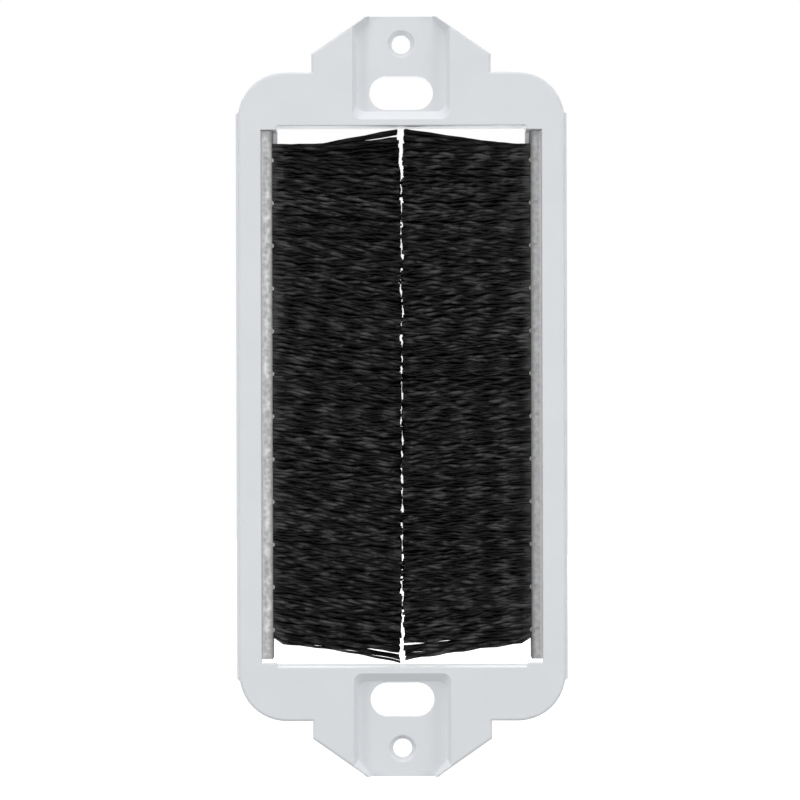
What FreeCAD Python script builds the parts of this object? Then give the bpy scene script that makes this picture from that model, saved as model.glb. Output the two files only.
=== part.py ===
import FreeCAD, Part
import math
import os
from FreeCAD import Vector

# Brush cable pass-through for a wall box: a moulded frame with two facing strip brushes.
# Sizes are in millimetres. X runs across, Z runs up, and the front faces -Y.
# The origin is the middle of the screw pattern, on the face that lies against the wall box.

# Screw pattern
box_screw_spacing = 83.34
plate_hole_beyond_slot = 6.75
slot_length = 8.75
slot_width = 4.65
plate_hole_diameter = 2.6
lead_in_diameter = 3.8
lead_in_depth = 0.8

# Frame outline
body_width = 45.4
corner_radius = 6.5
side_pad_proud = 0.3
side_pad_setback = 0.5
side_pad_short_of_corner = 5.8
end_bar = 7.38
ear_base_width = 24.6
ear_end_width = 9.7
ear_straight = 2.45
ear_end_beyond_hole = 3.73
plate_thickness = 2.4
edge_round = 0.4

# Recess in each ear
pocket_depth = 1.0
pocket_past_ear_end = 1.84
pocket_side_draft = 0.6
pocket_inner_radius = 1.2
pocket_ramp = 1.2
pocket_rim = 0.15
corner_wall_side = 0.85
corner_wall_end = 0.35
slot_land = 0.2
window_web = 0.82

# Window and the rim behind the plate
window_corner_radius = 0.3
window_edge_round = 0.15
rim_flange = 1.0
rim_wall = 1.4
rim_end_wall = 1.3
rim_corner_radius = 2.0

# Seats of the strip brushes
lip_thickness = 0.6
lip_overlap = 0.96
ledge_thickness = 1.1
ledge_reach = 0.57
seat_end_wall = 0.58
seat_side_clearance = 0.08
seat_depth_clearance = 0.1
strip_top_gap = 0.1
strip_bottom_gap = 0.5
seat_relief = 3.6

# Strip brushes
core_wire_diameter = 0.9
fold_thickness = 0.56
fold_clearance = 0.02
channel_sheet = 0.45
channel_wall_length = 1.0
channel_bare_top = 1.75
channel_bare_bottom = 2.6
channel_edge_round = 0.3
core_wire_inset = 0.2
crimp_pitch = 5.86
crimp_tool_radius = 1.0
crimp_depth = 0.08
crimp_from_edge = 0.7
crimp_bulge = 0.2
crimp_bulge_radius = 0.35

# Filament fill
fill_tip_thickness = 3.2
fill_flare_top = 2.05
fill_flare_bottom = 2.8
centre_gap = 0.46
tuft_count = 58
tuft_start = 0.3
tuft_gap_at_root = 0.1
tuft_gap_at_tip = 0.22
tip_ragged = 0.3
tip_ragged_steps = 5
tip_ragged_stride = 3

# Heights worked out from the screw pattern
slot_z = box_screw_spacing / 2
plate_hole_z = slot_z + plate_hole_beyond_slot
pocket_foot_z = slot_z - slot_width / 2 - slot_land
pocket_head_z = pocket_foot_z - pocket_ramp
window_top = pocket_head_z - window_web
seat_top = window_top - seat_end_wall
body_top = window_top + end_bar
ear_top = plate_hole_z + ear_end_beyond_hole

# The strip brush's section, folded round its core wire
wire_radius = core_wire_diameter / 2
fold_inner_radius = wire_radius + fold_clearance
fold_outer_radius = fold_inner_radius + fold_thickness
channel_inner_radius = fold_outer_radius + fold_clearance
channel_outer_radius = channel_inner_radius + channel_sheet

# Depths, from the front face to the back of the rim
front_y = -plate_thickness
pocket_floor_y = front_y + pocket_depth
lip_back_y = front_y + lip_thickness
ledge_y = lip_back_y + 2 * channel_outer_radius + seat_depth_clearance
rear_y = ledge_y + ledge_thickness
strip_y = lip_back_y + channel_outer_radius

# Distances across, from the outside to the middle
body_side = body_width / 2 - side_pad_proud
rim_side = body_width / 2 - rim_flange
seat_back_x = rim_side - rim_wall
channel_back_x = seat_back_x - seat_side_clearance
wire_x = channel_back_x - channel_outer_radius
mouth_x = wire_x - channel_wall_length
lip_x = channel_back_x - lip_overlap
window_side = mouth_x - ledge_reach
tip_x = centre_gap / 2

# The strip brush along its length
channel_top = seat_top - strip_top_gap
channel_bottom = -seat_top + strip_bottom_gap
fill_top = channel_top - channel_bare_top
fill_bottom = channel_bottom + channel_bare_bottom
tips_top = fill_top + fill_flare_top
tips_bottom = fill_bottom - fill_flare_bottom

# Overrun of a cutting block past the face that it opens
cut_past = 1.0

# Two places closer than this count as one
same_place = 1e-6


def on_xz(x, z, y):
    return Vector(x, y, z)


def outline_block(points, y_from, y_to):
    """A flat block whose outline is a list of (x, z) points."""
    corners = [on_xz(x, z, y_from) for x, z in points]
    face = Part.Face(Part.makePolygon(corners + corners[:1]))
    return face.extrude(Vector(0, y_to - y_from, 0))


def rectangle_block(x_from, x_to, z_from, z_to, y_from, y_to):
    size = (x_to - x_from, y_to - y_from, z_to - z_from)
    return Part.makeBox(*size, Vector(x_from, y_from, z_from))


def rounded_block(half_width, half_height, radius, y_from, y_to):
    """A centred rectangular block with its four through-edges rounded."""
    block = rectangle_block(-half_width, half_width, -half_height, half_height, y_from, y_to)
    depth = y_to - y_from
    through_edges = [edge for edge in block.Edges if abs(edge.BoundBox.YLength - depth) < same_place]
    return block.makeFillet(radius, through_edges)


def round_bar(radius, x, z, y_from, y_to):
    return Part.makeCylinder(radius, y_to - y_from, on_xz(x, z, y_from), Vector(0, 1, 0))


def flipped(shape):
    """The same shape at the other end of the frame."""
    return shape.mirror(Vector(), Vector(0, 0, 1))


def other_side(shape):
    """The same shape on the other long side of the frame."""
    return shape.mirror(Vector(), Vector(1, 0, 0))


def edges_at_depth(shape, y):
    """The edges of a shape that lie flat in the plane at depth y."""
    flat = [edge for edge in shape.Edges if edge.BoundBox.YLength < same_place]
    return [edge for edge in flat if abs(edge.BoundBox.YMin - y) < same_place]


def plate():
    """The front plate with its ears, rounded along the front edge."""
    base = ear_base_width / 2
    end = ear_end_width / 2
    shoulder_z = body_top + ear_straight
    root_z = body_top - corner_radius
    right_half = [(end, ear_top), (base, shoulder_z), (base, root_z)]
    left_half = [(-x, z) for x, z in reversed(right_half)]
    ear = outline_block(left_half + right_half, front_y, 0)
    body = rounded_block(body_side, body_top, corner_radius, front_y, 0)
    whole = body.fuse([ear, flipped(ear)]).removeSplitter()
    return whole.makeFillet(edge_round, edges_at_depth(whole, front_y))


def side_pad():
    """The thin strip that stands proud along a long side, behind the rounded edge."""
    half = body_top - side_pad_short_of_corner
    inside = body_side - rim_flange
    outside = body_width / 2
    points = [
        (inside, half + side_pad_proud),
        (body_side, half + side_pad_proud),
        (outside, half),
        (outside, -half),
        (body_side, -half - side_pad_proud),
        (inside, -half - side_pad_proud),
    ]
    return outline_block(points, front_y + side_pad_setback, 0)


def rim():
    """The wall round the window behind the plate, which goes into the wall box."""
    tube = rounded_block(rim_side, window_top + rim_end_wall, rim_corner_radius, 0, rear_y)
    return tube.makeFillet(edge_round, edges_at_depth(tube, rear_y))


def window_cut():
    """The opening that the cables go through."""
    through = (front_y - cut_past, rear_y + cut_past)
    return rounded_block(window_side, window_top, window_corner_radius, *through)


def seat_cut():
    """The rebate for a strip brush: open to the front up to the lip, then under the lip."""
    under_lip = rectangle_block(0, seat_back_x, -seat_top, seat_top, lip_back_y, ledge_y)
    in_front = rectangle_block(0, lip_x, -seat_top, seat_top, front_y - cut_past, ledge_y)
    return under_lip.fuse(in_front)


def seat_relief_cut():
    """The opening behind a strip's lower end, flush with the end of the window."""
    relief_top = -seat_top + seat_relief
    return rectangle_block(0, seat_back_x, -window_top, relief_top, lip_back_y, rear_y + cut_past)


def line_between(points, y):
    return [
        Part.LineSegment(on_xz(*start, y), on_xz(*end, y)).toShape()
        for start, end in zip(points, points[1:])
    ]


def pocket_wire(half_width, inner_z, radius, corner_side_z, corner_end_x, y):
    """The recess's outline at one depth, from one rounded inner corner to the other."""
    past_end = ear_top + cut_past
    straight = half_width - radius
    bow = radius * (1 - math.sqrt(0.5))
    side_z = inner_z + radius
    left_corner = [(-half_width, side_z), (-half_width + bow, inner_z + bow), (-straight, inner_z)]
    right_corner = [(straight, inner_z), (half_width - bow, inner_z + bow), (half_width, side_z)]
    open_end = [
        (half_width, side_z),
        (half_width, corner_side_z),
        (corner_end_x, ear_top),
        (corner_end_x, past_end),
        (-corner_end_x, past_end),
        (-corner_end_x, ear_top),
        (-half_width, corner_side_z),
        (-half_width, side_z),
    ]
    edges = [Part.Arc(*[on_xz(x, z, y) for x, z in left_corner]).toShape()]
    edges += line_between([(-straight, inner_z), (straight, inner_z)], y)
    edges += [Part.Arc(*[on_xz(x, z, y) for x, z in right_corner]).toShape()]
    edges += line_between(open_end, y)
    return Part.Wire(edges)


def pocket_cut():
    """The recess in an ear: ramped at its inner end and open at the ear's flat end."""
    ear_slope = (ear_top - body_top - ear_straight) / ((ear_base_width - ear_end_width) / 2)
    front_half = ear_end_width / 2 + pocket_past_ear_end
    floor_half = front_half - pocket_side_draft
    rim_end_x = ear_end_width / 2 - pocket_rim / math.sin(math.atan(ear_slope))
    rim_side_z = ear_top - (front_half - rim_end_x) * ear_slope
    rim_corner = (rim_side_z, rim_end_x)
    foot_corner = (rim_side_z - corner_wall_side, rim_end_x - corner_wall_end)
    front = pocket_wire(front_half, pocket_head_z, pocket_inner_radius, *rim_corner, front_y)
    floor = pocket_wire(floor_half, pocket_foot_z, pocket_inner_radius, *foot_corner, pocket_floor_y)
    return Part.makeLoft([front, floor], True, True)


def slot_cut():
    """The oblong hole for a wall box's screw."""
    reach = (slot_length - slot_width) / 2
    past = (pocket_floor_y - cut_past, cut_past)
    middle = rectangle_block(-reach, reach, slot_z - slot_width / 2, slot_z + slot_width / 2, *past)
    ends = [round_bar(slot_width / 2, x, slot_z, *past) for x in (-reach, reach)]
    return middle.fuse(ends)


def plate_hole_cut():
    """The small screw hole with its tapered lead-in."""
    through = (pocket_floor_y - cut_past, cut_past)
    hole = round_bar(plate_hole_diameter / 2, 0, plate_hole_z, *through)
    lead_in = Part.makeCone(
        lead_in_diameter / 2,
        plate_hole_diameter / 2,
        lead_in_depth,
        on_xz(0, plate_hole_z, pocket_floor_y),
        Vector(0, 1, 0),
    )
    return hole.fuse(lead_in)


def frame():
    solid = plate().fuse([side_pad(), other_side(side_pad()), rim()])
    ends = [pocket_cut(), slot_cut(), plate_hole_cut()]
    seats = [seat_cut(), seat_relief_cut()]
    cuts = [window_cut()] + seats + [other_side(cut) for cut in seats]
    cuts += ends + [flipped(cut) for cut in ends]
    moulding = solid.cut(cuts).removeSplitter()
    window_edges = [
        edge
        for edge in edges_at_depth(moulding, front_y)
        if max(abs(edge.BoundBox.XMin), abs(edge.BoundBox.XMax)) < lip_x + window_edge_round
        and max(abs(edge.BoundBox.ZMin), abs(edge.BoundBox.ZMax)) < window_top + window_edge_round
    ]
    return moulding.makeFillet(window_edge_round, window_edges)


def channel_section():
    """The section of the channel, open towards the middle of the window."""
    def at(x, from_middle):
        return Vector(x, strip_y + from_middle, channel_bottom)

    outer = channel_outer_radius
    inner = channel_inner_radius
    straight_x = mouth_x + channel_edge_round
    bow = channel_edge_round * (1 - math.sqrt(0.5))

    def wall(side):
        """One wall from its bend to its rounded edge and back along its inner face."""
        rounded_from = at(straight_x, side * outer)
        rounded_by = at(mouth_x + bow, side * (outer - bow))
        rounded_to = at(mouth_x, side * (outer - channel_edge_round))
        inner_face = [rounded_to, at(mouth_x, side * inner), at(wire_x, side * inner)]
        return [
            Part.LineSegment(at(wire_x, side * outer), rounded_from).toShape(),
            Part.Arc(rounded_from, rounded_by, rounded_to).toShape(),
        ] + [Part.LineSegment(*ends).toShape() for ends in zip(inner_face, inner_face[1:])]

    inner_bend = Part.Arc(at(wire_x, inner), at(wire_x + inner, 0), at(wire_x, -inner)).toShape()
    outer_bend = Part.Arc(at(wire_x, -outer), at(wire_x + outer, 0), at(wire_x, outer)).toShape()
    edges = Part.sortEdges(wall(1) + [inner_bend] + wall(-1) + [outer_bend])[0]
    return Part.Face(Part.Wire(edges))


def crimp_heights():
    length = channel_top - channel_bottom
    count = int(length / crimp_pitch)
    first = (channel_top + channel_bottom) / 2 - crimp_pitch * (count - 1) / 2
    return [first + crimp_pitch * number for number in range(count)]


def channel():
    """The sheet metal channel, with the crimp marks that close it on the filaments."""
    solid = channel_section().extrude(Vector(0, 0, channel_top - channel_bottom))
    dents = []
    bulges = []
    for z in crimp_heights():
        for side in (-1, 1):
            tool_y = strip_y + side * (channel_outer_radius + crimp_tool_radius - crimp_depth)
            dents.append(Part.makeSphere(crimp_tool_radius, Vector(mouth_x + crimp_from_edge, tool_y, z)))
            bulge_x = mouth_x - crimp_bulge + crimp_bulge_radius
            sheet_y = strip_y + min(side * channel_inner_radius, side * channel_outer_radius)
            bulges.append(round_bar(crimp_bulge_radius, bulge_x, z, sheet_y, sheet_y + channel_sheet))
    return solid.fuse(bulges).cut(dents).removeSplitter()


def core_wire():
    """The wire that the filaments are folded over."""
    bottom = channel_bottom + core_wire_inset
    length = channel_top - core_wire_inset - bottom
    return Part.makeCylinder(wire_radius, length, Vector(wire_x, strip_y, bottom))


def fill_envelope():
    """The section of the folded filaments, from the fold to the tips, along the whole window."""
    start = -window_top

    def at(x, from_middle):
        return Vector(x, strip_y + from_middle, start)

    half_tip = fill_tip_thickness / 2
    fold = fold_outer_radius
    front_leg = [at(tip_x, -half_tip), at(mouth_x, -fold), at(wire_x, -fold)]
    rear_leg = [at(wire_x, fold), at(mouth_x, fold), at(tip_x, half_tip), at(tip_x, -half_tip)]
    edges = [Part.LineSegment(*ends).toShape() for ends in zip(front_leg, front_leg[1:])]
    edges.append(Part.Arc(front_leg[-1], at(wire_x + fold, 0), rear_leg[0]).toShape())
    edges += [Part.LineSegment(*ends).toShape() for ends in zip(rear_leg, rear_leg[1:])]
    block = Part.Face(Part.Wire(edges)).extrude(Vector(0, 0, 2 * window_top))
    eye = Part.makeCylinder(fold_inner_radius, 2 * window_top, at(wire_x, 0))
    return block.cut(eye)


def tuft_layer(count, first_middle, y_from, y_to):
    """One layer of tufts that fan out from a common root, with ragged tips at the middle.

    first_middle is how far the first tuft's middle lies from the top of the fill, in pitches.
    """
    root_x = mouth_x - tuft_start
    past_back = wire_x + fold_outer_radius + cut_past
    root_pitch = (fill_top - fill_bottom) / tuft_count
    tip_pitch = (tips_top - tips_bottom) / tuft_count
    root_reach = (root_pitch - tuft_gap_at_root) / 2
    tip_reach = (tip_pitch - tuft_gap_at_tip) / 2
    points = [(past_back, fill_bottom), (past_back, fill_top)]
    for number in range(count):
        root_z = fill_top - root_pitch * (number + first_middle)
        tip_z = tips_top - tip_pitch * (number + first_middle)
        ragged_step = tip_ragged_stride * number % tip_ragged_steps
        end_x = tip_x + tip_ragged * ragged_step / (tip_ragged_steps - 1)
        points.append((root_x, root_z + root_reach))
        points.append((end_x, tip_z + tip_reach))
        points.append((end_x, tip_z - tip_reach))
        points.append((root_x, root_z - root_reach))
    return outline_block(points, y_from, y_to)


def filament_fill():
    """The filaments of one strip: two layers of tufts on one folded root, set half a pitch apart."""
    front = tuft_layer(tuft_count, 0.5, strip_y - fill_tip_thickness, strip_y)
    rear = tuft_layer(tuft_count - 1, 1.0, strip_y, strip_y + fill_tip_thickness)
    envelope = fill_envelope()
    return envelope.common(front).fuse(envelope.common(rear)).removeSplitter()


def single_solid(shape):
    return shape.Solids[0] if len(shape.Solids) == 1 else shape


right_channel = channel()
right_core_wire = core_wire()
right_bristles = filament_fill()

nodes = {
    "frame": frame(),
    "left_channel": other_side(right_channel),
    "right_channel": right_channel,
    "left_core_wire": other_side(right_core_wire),
    "right_core_wire": right_core_wire,
    "left_bristles": other_side(right_bristles),
    "right_bristles": right_bristles,
}

os.makedirs("parts", exist_ok=True)
for name, shape in nodes.items():
    single_solid(shape).exportStep("parts/" + name + ".step")
    print(name, len(shape.Solids), "solid", shape.isValid(), round(shape.Volume, 2), "mm3")
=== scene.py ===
import math

import bpy
import numpy as np
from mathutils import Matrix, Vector


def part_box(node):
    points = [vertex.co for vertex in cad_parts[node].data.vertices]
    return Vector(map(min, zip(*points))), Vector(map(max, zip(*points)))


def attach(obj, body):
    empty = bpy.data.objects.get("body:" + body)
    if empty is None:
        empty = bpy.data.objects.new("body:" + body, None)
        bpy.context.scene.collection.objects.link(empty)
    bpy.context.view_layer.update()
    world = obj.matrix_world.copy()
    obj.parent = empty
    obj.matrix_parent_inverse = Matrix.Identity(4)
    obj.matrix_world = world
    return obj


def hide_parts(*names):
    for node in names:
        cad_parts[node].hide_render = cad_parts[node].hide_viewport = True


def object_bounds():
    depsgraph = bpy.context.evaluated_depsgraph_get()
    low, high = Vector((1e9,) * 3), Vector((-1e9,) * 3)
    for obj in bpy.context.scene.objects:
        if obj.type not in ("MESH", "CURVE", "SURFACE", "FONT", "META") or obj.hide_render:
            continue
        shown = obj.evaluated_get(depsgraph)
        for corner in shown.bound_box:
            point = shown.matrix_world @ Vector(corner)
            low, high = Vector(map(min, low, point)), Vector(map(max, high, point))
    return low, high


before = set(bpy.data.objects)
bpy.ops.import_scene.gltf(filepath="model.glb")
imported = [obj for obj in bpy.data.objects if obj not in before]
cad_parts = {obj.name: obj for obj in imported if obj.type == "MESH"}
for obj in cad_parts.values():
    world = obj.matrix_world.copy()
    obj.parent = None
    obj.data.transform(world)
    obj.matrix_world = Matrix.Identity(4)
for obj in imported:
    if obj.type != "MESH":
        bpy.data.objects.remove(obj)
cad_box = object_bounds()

# Brush cable pass-through: the moulded frame, the two channels and their core wires are the CAD
# nodes with their finishes, and the solid brushes give way to crimped filaments.
# Lengths are in metres. X runs across, Z runs up, and the front faces -Y.

MM = 0.001
BODY = "root"

# Filaments, and how far the layers lie in front of and behind the core wire
filament_thickness = 0.56 * MM
thickness_loss = 0.4
filament_sides = 4
filament_rings = 16
filaments_in_row = 124
rows_in_layer = 3
layer_at_root = (0.74 * MM, 0.76 * MM)
layer_at_tip = (0.45 * MM, 0.94 * MM)

# Bend of the filaments round the core wire
fold_clearance = 0.04 * MM
fold_sides = 32
fold_past_wire = 0.1 * MM

# Rows: how far the first is set down and how far roots stray, as shares of the pitch, and how much
# of the filaments' waywardness the rear layer has
first_row_down = 0.4
root_stray = 0.1
rear_calm = 0.35
rear_seed = 100

# Crimp, with shares of a filament's length for where it starts and how fast it grows
crimp_length = 4.5 * MM
crimp_length_change = 0.09
crimp_up = 0.15 * MM
crimp_up_range = (0.6, 1.25)
crimp_out = 0.30 * MM
crimp_out_range = (0.75, 1.15)
crimp_starts = 0.04
crimp_grows = 0.10
crimp_drift_length = 14 * MM
crimp_step_noise = 0.25

# Filaments that settle to one side past the channel, and tips that stray
settle_shift = 0.10 * MM
settle_length = 0.15
tip_stray = 0.04 * MM

# Slit where the two brushes meet
slit_seed = 5
slit_half_gap = -0.01 * MM
slit_gap_change = 0.03 * MM
slit_gap_change_length = 2.2 * MM
slit_overlap = 0.10 * MM
slit_wander = 0.11 * MM
slit_wander_length = 5 * MM
slit_jitter = 0.08 * MM
slit_jitter_length = 1.3 * MM
slit_opens_at_ends = 0.40 * MM
slit_end_length = 2.0 * MM
tip_scatter = 0.24 * MM
tip_fray = 0.06 * MM
share_crossing = 0.03
crossing_reach = (0.1 * MM, 0.4 * MM)

# Ends of the brushes, which fan out past the clamped root and keep their outer filaments in line
fan_depth = 1.8 * MM
fan_reach = (0.93, 1.0)
hang_depth = 5.4 * MM
least_freedom = 0.35
foot_lift = 0.55 * MM
foot_fan_at_mouth = 0.26
foot_fan_starts = 0.05
foot_fan_length = 0.08

# Locks of filaments that part from each other near the ends of the brushes
lock_seed = 50
lock_height = 0.3 * MM
lock_shift = 0.38 * MM
lock_range = (0.4, 1.0)
lock_reach = 1.4 * MM
lock_starts = 0.45

# Shades: two parts of a filament's own tone, and painted light that makes the run beside the channel
# paler, lifting the shade between the filaments there
tone_parts = (0.65, 0.35)
root_painted_lighter = 1.1
root_painted_light_length = 0.17

# The two sides: sign of X, how far filaments are out of step, how the crimp drifts up the strip,
# the share of filaments that fall towards the slit where they stand out, where along the filaments
# the top starts to fan out, how late the foot fans out, and how far the tips hang
SIDES = {
    "left": {
        "sign": -1, "seed": 11, "out_of_step": 1.6, "drift": 1.8,
        "falling": 0.8, "fan_starts": 0.4, "foot_bend": 1.5, "sag": 1.2 * MM,
    },
    "right": {
        "sign": 1, "seed": 23, "out_of_step": 0.85, "drift": 0.8,
        "falling": 0.55, "fan_starts": 0.2, "foot_bend": 1.0, "sag": 0.35 * MM,
    },
}

# Painted shade along the edge of the channels' mouth beside the filaments, which spares most of the
# crimped bumps that stand past it, and a painted highlight on the bend at their back
mouth_shade_width = 0.6 * MM
crimp_bump = 0.2 * MM
bump_unshaded = 0.7
# Painted highlight: the bend under the lip is painted light grey to lift its shade
bend_starts = 0.1 * MM
bend_ends = 0.6 * MM
painted_bend_highlight = (0.72, 0.72, 0.73)

# Greys of each channel's galvanised sheet, with painted light: the left sheet is painted lighter and
# the right one darker, as the light falls on them, and the first grey is the painted shade by the mouth
SHEET_GREYS_WITH_PAINTED_LIGHT = {
    "left": {"mouth_shade": 0.16, "dark": 0.27, "middle": 0.39, "light": 0.64},
    "right": {"mouth_shade": 0.09, "dark": 0.22, "middle": 0.29, "light": 0.39},
}

# Photograph's view
image_width_at_front = 109.6 * MM
camera_distance = 350 * MM
camera_sensor = 36.0
camera_aside = -0.25 * MM
camera_below = -0.5 * MM
camera_roll = math.radians(0.146)

# Floor, surroundings and lamps: place, point that it faces, width and power
floor_width = 1.2
floor_gap = 0.05 * MM
floor_grey_in_light = 0.40
floor_grey_to_eye = 0.6
floor_glow_to_eye = 0.72
surroundings_light = 0.18
surroundings_to_eye = 1.0
MIDDLE = (0, 0, 0)
LAMPS = {
    "high_lamp": ((-0.15, -0.93, 1.77), MIDDLE, 1.2, 18.9),
    "overhead_lamp": ((0, -0.1, 1.2), MIDDLE, 0.4, 3.2),
    "front_lamp": ((0.02, -1.20, 0.06), MIDDLE, 0.2, 3.6),
    "left_lamp": ((-0.54, -0.25, 0.02), MIDDLE, 0.12, 0.90),
    "right_lamp": ((0.56, -0.20, 0.02), MIDDLE, 0.12, 0.95),
    "back_lamp": ((0, 0.5, 0), MIDDLE, 0.9, 3.0),
    "high_back_lamp": ((0, 0.6, 0.5), MIDDLE, 0.3, 1.5),
    "floor_lamp": ((0, 0.2, -0.045), (0, 0.2, 1), 0.3, 0.42),
}

# Sockets of a Mix node that blends colours
MIX_FACTOR = 0
MIX_FIRST = 6
MIX_SECOND = 7
MIX_RESULT = 2


def mesh_points(mesh):
    """The corner points of a mesh, as rows of x, y, z."""
    points = np.empty(len(mesh.vertices) * 3)
    mesh.vertices.foreach_get("co", points)
    return points.reshape(-1, 3)


def deselect():
    bpy.ops.object.select_all(action="DESELECT")


def edit_mode_with_none(kind):
    """Goes into edit mode and back to object mode, so that nothing of the mesh is left selected."""
    bpy.ops.object.mode_set(mode="EDIT")
    bpy.ops.mesh.select_mode(type=kind)
    bpy.ops.mesh.select_all(action="DESELECT")
    bpy.ops.object.mode_set(mode="OBJECT")


def shaped_piece(name):
    """The piece just added, named, with its place applied to its mesh."""
    piece = bpy.context.object
    piece.name = name
    piece.data.name = name
    bpy.ops.object.transform_apply(location=True, rotation=True, scale=True)
    return piece


def repeat(piece, count, step):
    """Repeats the piece along a step with an applied array."""
    array = piece.modifiers.new("repeat", "ARRAY")
    array.use_relative_offset = False
    array.use_constant_offset = True
    array.constant_offset_displace = step
    array.count = count
    bpy.ops.object.modifier_apply(modifier=array.name)


def wander(random, places, length, terms=5):
    """A smooth wavering value between about -1 and 1 along places, with bends about length apart."""
    total = np.zeros_like(places)
    for _ in range(terms):
        wave = length * random.uniform(0.7, 1.9)
        total += np.sin(2 * math.pi * (places / wave + random.uniform()))
    return total / math.sqrt(terms)


# Sizes of the strip brushes, from the CAD nodes
wire_low, wire_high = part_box("right_core_wire")
wire_x = (wire_low.x + wire_high.x) / 2
strip_y = (wire_low.y + wire_high.y) / 2
fill_points = mesh_points(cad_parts["right_bristles"].data)
at_root = fill_points[fill_points[:, 0] > wire_x]
root_bottom = at_root[:, 2].min()
root_top = at_root[:, 2].max()
fan_up = fill_points[:, 2].max() - root_top
fan_down = root_bottom - fill_points[:, 2].min()
fold_radius = at_root[:, 0].max() - wire_x
bump_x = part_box("right_channel")[0].x
mouth_x = bump_x + crimp_bump
foot = root_bottom + foot_lift
row_pitch = (root_top - foot) / filaments_in_row


def straight_filament(name, y):
    """One straight filament at the bottom of the strip, with rings along it to bend at."""
    deselect()
    bpy.ops.mesh.primitive_cylinder_add(
        vertices=filament_sides,
        radius=filament_thickness / 2,
        depth=wire_x,
        location=(wire_x / 2, y, foot + row_pitch / 2),
        rotation=(0, math.pi / 2, 0),
    )
    piece = shaped_piece(name)
    edit_mode_with_none("EDGE")
    corners = piece.data.vertices
    for edge in piece.data.edges:
        start, end = edge.vertices
        edge.select = abs(corners[start].co.x - corners[end].co.x) > wire_x / 2
    bpy.ops.object.mode_set(mode="EDIT")
    bpy.ops.mesh.subdivide(number_cuts=filament_rings - 1)
    bpy.ops.object.mode_set(mode="OBJECT")
    bpy.ops.object.shade_smooth()
    return piece


def slit_line(z):
    """Where the slit runs and how far its sides stand from that line, at heights z."""
    random = np.random.default_rng(slit_seed)
    line = slit_wander * wander(random, z, slit_wander_length)
    line = line + slit_jitter * wander(random, z, slit_jitter_length)
    half_gap = slit_half_gap + slit_gap_change * wander(random, z, slit_gap_change_length)
    from_end = np.minimum(root_top - z, z - root_bottom)
    half_gap += slit_opens_at_ends * np.exp(-np.maximum(from_end, 0) / slit_end_length)
    return line, np.maximum(half_gap, -slit_overlap)


def filament_tips(random, sign, root_z):
    """How far from the middle of the window each filament ends. A few cross the slit."""
    count = len(root_z)
    line, half_gap = slit_line(root_z)
    tip = sign * line + half_gap + random.uniform(0, tip_scatter, count)
    tip = tip + random.uniform(0, tip_fray, count)
    clear_of_ends = (root_z - foot > fan_depth) & (root_top - root_z > 2 * fan_depth)
    crosses = (random.uniform(0, 1, count) < share_crossing) & clear_of_ends
    return tip - np.where(crosses, random.uniform(*crossing_reach, count), 0)


def parted_locks(seed, from_top, from_bottom):
    """How far the tips of each lock part from the next, most at the ends of the brush."""
    random = np.random.default_rng(seed + lock_seed)
    lock_count = int((root_top - foot) / lock_height) + 1
    places = random.uniform(*lock_range, (2, lock_count)) * np.resize((1, -1), lock_count)
    at_head = from_top < from_bottom
    from_end = np.minimum(from_top, from_bottom)
    parted = places[at_head.astype(int), (from_end / lock_height).astype(int)]
    return lock_shift * parted * np.where(at_head, 1, -1) * np.exp(-from_end / lock_reach)


def lie(random, settings, along, from_top, from_bottom, wayward):
    """How far each corner is lifted by the fan of the ends, the hang of the tips and the locks."""
    count = len(from_top)
    head_starts = settings["fan_starts"]
    head_share = np.clip((along - head_starts) / (1 - head_starts), 0, 1)
    foot_share = foot_fan_at_mouth * np.clip((along - foot_fan_starts) / foot_fan_length, 0, 1)
    foot_share = foot_share + (1 - foot_fan_at_mouth) * along ** settings["foot_bend"]
    hang_share = 1.5 * along - 0.5 * along ** 2
    settle_share = np.clip(along / settle_length, 0, 1)
    lock_share = np.clip((along - lock_starts) / (1 - lock_starts), 0, 1)

    reach = random.uniform(*fan_reach, count)
    near_foot = np.exp(-from_bottom / fan_depth)
    head_fan = fan_up * reach * np.exp(-from_top / fan_depth)
    foot_fan = (fan_down + foot_lift) * reach * near_foot
    hang = settings["sag"] * (1 - np.exp(-from_top / hang_depth)) * (1 - near_foot)
    settle = wayward * settle_shift * random.normal(0, 1, count)
    settle = settle * freedom(from_top, from_bottom)
    stray = wayward * random.normal(0, tip_stray, count)
    parted = parted_locks(settings["seed"], from_top, from_bottom)

    lift = head_fan[:, None] * head_share - foot_fan[:, None] * foot_share
    lift = lift - hang[:, None] * hang_share + settle[:, None] * settle_share
    return lift + stray[:, None] * along + parted[:, None] * lock_share


def freedom(from_top, from_bottom):
    """How freely a filament goes its own way: less at the very ends of the brush."""
    return np.minimum(1, least_freedom + np.minimum(from_top, from_bottom) / fan_depth)


def crimp_steps(random, settings, root_z):
    """How far each filament's crimp is out of step, and the length of its waves."""
    count = len(root_z)
    steps = settings["drift"] * wander(random, root_z, crimp_drift_length)
    steps = steps + settings["out_of_step"] * random.normal(0, 1, count)
    steps = steps + random.normal(0, crimp_step_noise, count)
    return steps, crimp_length * (1 + crimp_length_change * random.normal(0, 1, count))


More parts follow.
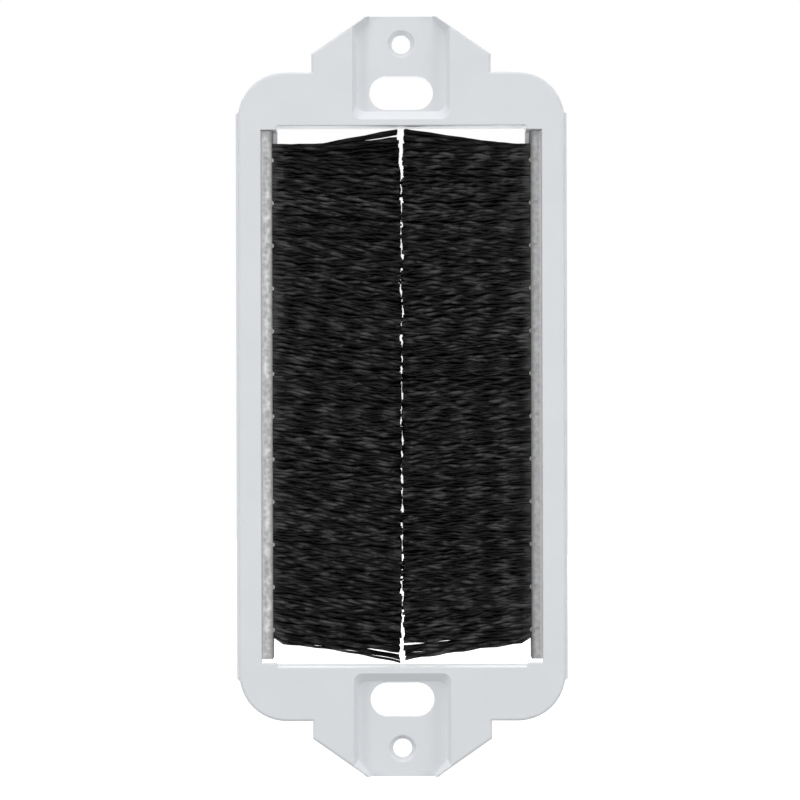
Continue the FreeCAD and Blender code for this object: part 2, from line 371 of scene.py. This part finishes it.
def comb_out(piece, side, out):
    """Gives each filament of one layer its own crimp, fan and length. out is -1 for the front layer."""
    settings = SIDES[side]
    sign = settings["sign"]
    rear = out > 0
    wayward = rear_calm if rear else 1
    random = np.random.default_rng(settings["seed"] + (rear_seed if rear else 0))
    mesh = piece.data
    count = filaments_in_row * rows_in_layer
    points = mesh_points(mesh).reshape(count, -1, 3)

    # Each corner's place round its own filament, and its share of the way from root to tip
    row = np.tile(np.arange(filaments_in_row), rows_in_layer)
    level = np.repeat(np.arange(rows_in_layer), filaments_in_row)
    grid_z = foot + row_pitch * (row + 0.5)
    layer_depth = layer_at_root[1] - layer_at_root[0]
    y_root = layer_at_root[0] + layer_depth * level / (rows_in_layer - 1)
    y_tip = random.uniform(*layer_at_tip, count)
    across = points[:, :, 1] - strip_y - out * y_root[:, None]
    up = points[:, :, 2] - grid_z[:, None]
    along = np.clip(1 - points[:, :, 0] / wire_x, 0, 1)

    # Root, tip and lie of each filament
    stagger = (level + (0.5 if rear else 0)) / rows_in_layer - first_row_down
    root_z = grid_z + row_pitch * (stagger + wayward * random.normal(0, root_stray, count))
    root_z = np.clip(root_z, foot, root_top)
    from_top = root_top - root_z
    from_bottom = root_z - foot
    tip = filament_tips(random, sign, root_z)
    x = wire_x - along * (wire_x - tip)[:, None]
    lift = lie(random, settings, along, from_top, from_bottom, wayward)

    # Crimp
    steps, wave_length = crimp_steps(random, settings, root_z)
    turn = 2 * math.pi * (wire_x - x) / wave_length[:, None] + steps[:, None]
    grow = np.clip((along - crimp_starts) / crimp_grows, 0, 1)
    falls = np.where(random.uniform(0, 1, count) < settings["falling"], -1, 1)
    tall = wayward * crimp_up * falls * random.uniform(*crimp_up_range, count)
    tall = (tall * freedom(from_top, from_bottom))[:, None] * grow
    deep = crimp_out * random.uniform(*crimp_out_range, count)[:, None] * grow

    thickness = 1 - wayward * random.uniform(0, thickness_loss, count)[:, None]
    bent = np.empty_like(points)
    bent[:, :, 0] = sign * x
    bent[:, :, 1] = strip_y + out * (y_root[:, None] + (y_tip - y_root)[:, None] * along)
    bent[:, :, 1] += out * deep * np.cos(turn) + across * thickness
    bent[:, :, 2] = root_z[:, None] + lift + tall * np.sin(turn) + up * thickness
    mesh.vertices.foreach_set("co", bent.ravel())

    own_tone = tone_parts[0] * random.uniform(0, 1, count) + tone_parts[1] * random.uniform(0, 1, count)
    # Painted light: the run beside the channel is painted paler, lifting the shade between the
    # filaments there
    root_light = root_painted_lighter * np.clip(1 - along / root_painted_light_length, 0, 1)
    shades = {
        "filament_tone": np.repeat(own_tone, points.shape[1]),
        # The crest value is painted light: crests of the crimp painted greyer as a highlight, troughs
        # darker as shade
        "painted_crest_light": (0.5 + 0.5 * np.cos(turn) * grow + root_light).ravel(),
    }
    for name, values in shades.items():
        attribute = mesh.attributes.new(name, "FLOAT", "POINT")
        attribute.data.foreach_set("value", values)
    mesh.update()


def filament_layer(side, place, out):
    """All filaments in front of, or behind, the core wire of one strip."""
    piece = straight_filament(side + "_" + place + "_filaments", strip_y + out * layer_at_root[0])
    repeat(piece, filaments_in_row, (0, 0, row_pitch))
    level_step = out * (layer_at_root[1] - layer_at_root[0]) / (rows_in_layer - 1)
    repeat(piece, rows_in_layer, (0, level_step, 0))
    comb_out(piece, side, out)
    if SIDES[side]["sign"] < 0:
        bpy.ops.object.mode_set(mode="EDIT")
        bpy.ops.mesh.select_all(action="SELECT")
        bpy.ops.mesh.flip_normals()
        bpy.ops.object.mode_set(mode="OBJECT")
    return piece


def folded_root(side):
    """The bend of the filaments round the back of the core wire, inside the channel."""
    sign = SIDES[side]["sign"]
    wall = fold_radius - (wire_high.x - wire_x) - fold_clearance
    deselect()
    bpy.ops.mesh.primitive_circle_add(
        vertices=fold_sides,
        radius=fold_radius - wall / 2,
        location=(sign * wire_x, strip_y, root_bottom),
    )
    piece = shaped_piece(side + "_folded_root")
    edit_mode_with_none("VERT")
    for corner in piece.data.vertices:
        corner.select = sign * corner.co.x < wire_x - fold_past_wire
    bpy.ops.object.mode_set(mode="EDIT")
    bpy.ops.mesh.delete(type="VERT")
    bpy.ops.mesh.select_all(action="SELECT")
    bpy.ops.mesh.extrude_region_move(
        TRANSFORM_OT_translate={"value": (0, 0, root_top - root_bottom)}
    )
    bpy.ops.mesh.select_all(action="SELECT")
    bpy.ops.mesh.normals_make_consistent(inside=False)
    bpy.ops.object.mode_set(mode="OBJECT")
    thickness = piece.modifiers.new("thickness", "SOLIDIFY")
    thickness.thickness = wall
    thickness.offset = 0
    bpy.ops.object.modifier_apply(modifier=thickness.name)
    bpy.ops.object.shade_smooth_by_angle(angle=math.radians(40))
    return piece


def node_maker(owner):
    """Two helpers that add a node and join two sockets in an emptied tree."""
    owner.use_nodes = True
    tree = owner.node_tree
    tree.nodes.clear()

    def add(kind, **inputs):
        node = tree.nodes.new(kind)
        for socket, value in inputs.items():
            node.inputs[socket.replace("_", " ")].default_value = value
        return node

    return add, tree.links.new


def new_finish(name):
    material = bpy.data.materials.new(name)
    add, join = node_maker(material)
    shader = add("ShaderNodeBsdfPrincipled")
    output = add("ShaderNodeOutputMaterial")
    join(shader.outputs["BSDF"], output.inputs["Surface"])
    places = add("ShaderNodeTexCoord").outputs["Object"]
    return material, shader, places, add, join


def noise(add, join, places, scale, detail, roughness, stretch=None):
    """Noise at places, which may be stretched first."""
    if stretch:
        mapping = add("ShaderNodeMapping", Scale=stretch)
        join(places, mapping.inputs["Vector"])
        places = mapping.outputs["Vector"]
    texture = add("ShaderNodeTexNoise", Scale=scale, Detail=detail, Roughness=roughness)
    join(places, texture.inputs["Vector"])
    return texture.outputs["Fac"]


def attribute_value(add, name):
    attribute = add("ShaderNodeAttribute")
    attribute.attribute_name = name
    return attribute.outputs["Fac"]


def spread_colours(add, join, value, stops):
    """A colour ramp from a value, with stops of position and colour."""
    ramp = add("ShaderNodeValToRGB")
    elements = ramp.color_ramp.elements
    while len(elements) < len(stops):
        elements.new(0.5)
    for element, (position, colour) in zip(elements, stops):
        element.position = position
        element.color = (*colour, 1)
    join(value, ramp.inputs["Fac"])
    return ramp.outputs["Color"]


def spread_values(add, join, value, low, high, start=0, end=1):
    """The value from start to end spread between low and high."""
    change = add("ShaderNodeMapRange", From_Min=start, From_Max=end, To_Min=low, To_Max=high)
    join(value, change.inputs["Value"])
    return change.outputs["Result"]


def combine(add, join, operation, first, second):
    """One value from two."""
    maths = add("ShaderNodeMath")
    maths.operation = operation
    join(first, maths.inputs[0])
    join(second, maths.inputs[1])
    return maths.outputs["Value"]


def blend_values(add, join, share, first, second):
    """The first value with a share of the second."""
    blend = add("ShaderNodeMix", Factor=share)
    join(first, blend.inputs["A"])
    join(second, blend.inputs["B"])
    return blend.outputs["Result"]


def blend_colours(add, join, factor, first, second):
    """Two colours blended by a factor. Each is a socket to join or a colour to set."""
    blend = add("ShaderNodeMix")
    blend.data_type = "RGBA"
    join(factor, blend.inputs[MIX_FACTOR])
    for socket, colour in ((MIX_FIRST, first), (MIX_SECOND, second)):
        if isinstance(colour, tuple):
            blend.inputs[socket].default_value = (*colour, 1)
        else:
            join(colour, blend.inputs[socket])
    return blend.outputs[MIX_RESULT]


def raise_surface(add, join, shader, height, strength, distance):
    """A fine relief on the surface."""
    relief = add("ShaderNodeBump", Strength=strength, Distance=distance)
    join(height, relief.inputs["Height"])
    join(relief.outputs["Normal"], shader.inputs["Normal"])


def moulded_plastic():
    material, shader, places, add, join = new_finish("moulded_plastic")
    cloud = noise(add, join, places, 160, 4, 0.55)
    grain = noise(add, join, places, 5200, 3, 0.6)
    colour = spread_colours(add, join, cloud, [
        (0.3, (0.668, 0.688, 0.712)),
        (0.7, (0.690, 0.709, 0.732)),
    ])
    join(colour, shader.inputs["Base Color"])
    join(spread_values(add, join, grain, 0.40, 0.58), shader.inputs["Roughness"])
    raise_surface(add, join, shader, grain, 0.12, 0.02 * MM)
    shader.inputs["Specular IOR Level"].default_value = 0.4
    return material


def galvanised_sheet(side):
    """Mottled sheet, with a painted highlight on its bend and painted shade towards the mouth, which
    spares most of the crimped bumps.
    """
    sign = SIDES[side]["sign"]
    # Painted light: each side's sheet is painted at its own brightness, as the light falls on it
    greys = SHEET_GREYS_WITH_PAINTED_LIGHT[side]
    mouth_shade, dark, middle, light = greys["mouth_shade"], greys["dark"], greys["middle"], greys["light"]
    material, shader, places, add, join = new_finish(side + "_galvanised_sheet")
    spangle = noise(add, join, places, 1100, 5, 0.62, stretch=(1, 1, 0.45))
    flecks = add("ShaderNodeTexVoronoi", Scale=1500)
    join(places, flecks.inputs["Vector"])
    mottle = blend_values(add, join, 0.3, spangle, flecks.outputs["Distance"])
    colour = spread_colours(add, join, mottle, [
        (0.30, (dark, dark, dark * 1.02)),
        (0.48, (middle, middle, middle * 1.01)),
        (0.68, (light, light, light)),
    ])

    parts = add("ShaderNodeSeparateXYZ")
    join(places, parts.inputs["Vector"])
    x = parts.outputs["X"]
    # Painted shade: towards the mouth the sheet is painted darker, for the shade and dark reflection of
    # the filaments beside it; most of the crimped bumps are spared
    inside = spread_values(add, join, x, 0, 1, sign * mouth_x, sign * (mouth_x + mouth_shade_width))
    bump = spread_values(add, join, x, 0, bump_unshaded, sign * mouth_x, sign * bump_x)
    unshaded = combine(add, join, "MAXIMUM", inside, bump)
    colour = blend_colours(add, join, unshaded, (mouth_shade, mouth_shade, mouth_shade), colour)
    # Painted highlight: the bend at the back of the sheet, under the lip, is painted light grey to lift
    # its shade
    bend_from, bend_to = sign * (wire_x + bend_starts), sign * (wire_x + bend_ends)
    bend = spread_values(add, join, x, 0, 1, bend_from, bend_to)
    colour = blend_colours(add, join, bend, colour, painted_bend_highlight)
    join(colour, shader.inputs["Base Color"])
    join(spread_values(add, join, spangle, 0.42, 0.66), shader.inputs["Roughness"])
    raise_surface(add, join, shader, mottle, 0.35, 0.03 * MM)
    shader.inputs["Metallic"].default_value = 0.25
    return material


def drawn_wire():
    material, shader, places, add, join = new_finish("drawn_wire")
    lines = noise(add, join, places, 1, 4, 0.6, stretch=(6000, 6000, 90))
    colour = spread_colours(add, join, lines, [
        (0.3, (0.36, 0.36, 0.37)),
        (0.7, (0.55, 0.55, 0.55)),
    ])
    join(colour, shader.inputs["Base Color"])
    join(spread_values(add, join, lines, 0.25, 0.45), shader.inputs["Roughness"])
    raise_surface(add, join, shader, lines, 0.2, 0.01 * MM)
    shader.inputs["Metallic"].default_value = 1.0
    return material


def black_filament():
    """Black, with painted light: the crests of each crimp are painted greyer as highlights and the
    troughs darker as shade, besides each filament's own tone, scuffs and wider patches.
    """
    material, shader, places, add, join = new_finish("black_filament")
    tone = attribute_value(add, "filament_tone")
    crest_light = attribute_value(add, "painted_crest_light")
    scuff = noise(add, join, places, 1800, 3, 0.6)
    own = blend_values(add, join, 0.3, tone, scuff)
    # Painted light: the crest highlight and trough shade are blended into the tone
    tone_and_painted_light = blend_values(add, join, 0.45, own, crest_light)
    patches = noise(add, join, places, 650, 2, 0.5, stretch=(0.5, 1, 1))
    patch_tone = spread_values(add, join, patches, -0.24, 0.24, 0.3, 0.7)
    colour = spread_colours(add, join, combine(add, join, "ADD", tone_and_painted_light, patch_tone), [
        (0.30, (0.001, 0.001, 0.00103)),
        (0.64, (0.0105, 0.0105, 0.0108)),
        (1.00, (0.065, 0.065, 0.067)),
    ])
    join(colour, shader.inputs["Base Color"])
    join(spread_values(add, join, own, 0.34, 0.50), shader.inputs["Roughness"])
    shader.inputs["Specular IOR Level"].default_value = 0.07
    return material


def finish_node(name, material):
    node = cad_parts[name]
    node.data.materials.clear()
    node.data.materials.append(material)


def white_to_the_eye(add, join):
    """1 for rays that see the background straight, in a gloss or through glass, and 0 for the rest."""
    path = add("ShaderNodeLightPath").outputs
    straight_or_gloss = combine(add, join, "MAXIMUM", path["Is Camera Ray"], path["Is Glossy Ray"])
    return combine(add, join, "MAXIMUM", straight_or_gloss, path["Is Transmission Ray"])


def pale_floor_finish():
    material = bpy.data.materials.new("pale_floor")
    add, join = node_maker(material)
    lit = add("ShaderNodeBsdfDiffuse", Color=(*[floor_grey_in_light] * 3, 1))
    shaded = add("ShaderNodeBsdfDiffuse", Color=(*[floor_grey_to_eye] * 3, 1))
    glow = add("ShaderNodeEmission", Color=(1, 1, 1, 1), Strength=floor_glow_to_eye)
    seen = add("ShaderNodeAddShader")
    join(shaded.outputs["BSDF"], seen.inputs[0])
    join(glow.outputs["Emission"], seen.inputs[1])
    choose = add("ShaderNodeMixShader")
    join(white_to_the_eye(add, join), choose.inputs["Fac"])
    join(lit.outputs["BSDF"], choose.inputs[1])
    join(seen.outputs["Shader"], choose.inputs[2])
    output = add("ShaderNodeOutputMaterial")
    join(choose.outputs["Shader"], output.inputs["Surface"])
    return material


def pale_floor():
    deselect()
    bpy.ops.mesh.primitive_plane_add(size=floor_width, location=(0, 0, cad_box[0].z - floor_gap))
    floor = shaped_piece("floor")
    floor.data.materials.append(pale_floor_finish())


def white_surroundings():
    world = bpy.data.worlds.new("surroundings")
    bpy.context.scene.world = world
    add, join = node_maker(world)
    soft = add("ShaderNodeBackground", Color=(1, 1, 1, 1), Strength=surroundings_light)
    white = add("ShaderNodeBackground", Color=(1, 1, 1, 1), Strength=surroundings_to_eye)
    choose = add("ShaderNodeMixShader")
    join(white_to_the_eye(add, join), choose.inputs["Fac"])
    join(soft.outputs["Background"], choose.inputs[1])
    join(white.outputs["Background"], choose.inputs[2])
    output = add("ShaderNodeOutputWorld")
    join(choose.outputs["Shader"], output.inputs["Surface"])


def soft_lamp(name, place, aim, width, power):
    """A square soft lamp at a place, turned to the point it is aimed at."""
    deselect()
    bpy.ops.object.light_add(type="AREA", location=place)
    lamp = bpy.context.object
    lamp.name = name
    lamp.data.size = width
    lamp.data.energy = power
    towards = Vector(aim) - Vector(place)
    lamp.rotation_euler = towards.to_track_quat("-Z", "Y").to_euler()
    lamp.visible_camera = False


def photograph_camera():
    deselect()
    front_y = cad_box[0].y
    bpy.ops.object.camera_add(
        location=(camera_aside, front_y - camera_distance, camera_below),
        rotation=(math.pi / 2, camera_roll, 0),
    )
    camera = bpy.context.object
    camera.data.sensor_width = camera_sensor
    camera.data.lens = camera_sensor * camera_distance / image_width_at_front
    bpy.context.scene.camera = camera


finish_node("frame", moulded_plastic())
wire_finish = drawn_wire()
filament_finish = black_filament()
for side in SIDES:
    finish_node(side + "_channel", galvanised_sheet(side))
    finish_node(side + "_core_wire", wire_finish)
    brush_pieces = [
        filament_layer(side, "front", -1),
        filament_layer(side, "rear", 1),
        folded_root(side),
    ]
    for piece in brush_pieces:
        piece.data.materials.append(filament_finish)
        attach(piece, BODY)
        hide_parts(side + "_bristles")

pale_floor()
white_surroundings()
for lamp_name, lamp in LAMPS.items():
    soft_lamp(lamp_name, *lamp)
photograph_camera()
bpy.context.scene.view_settings.view_transform = "Standard"
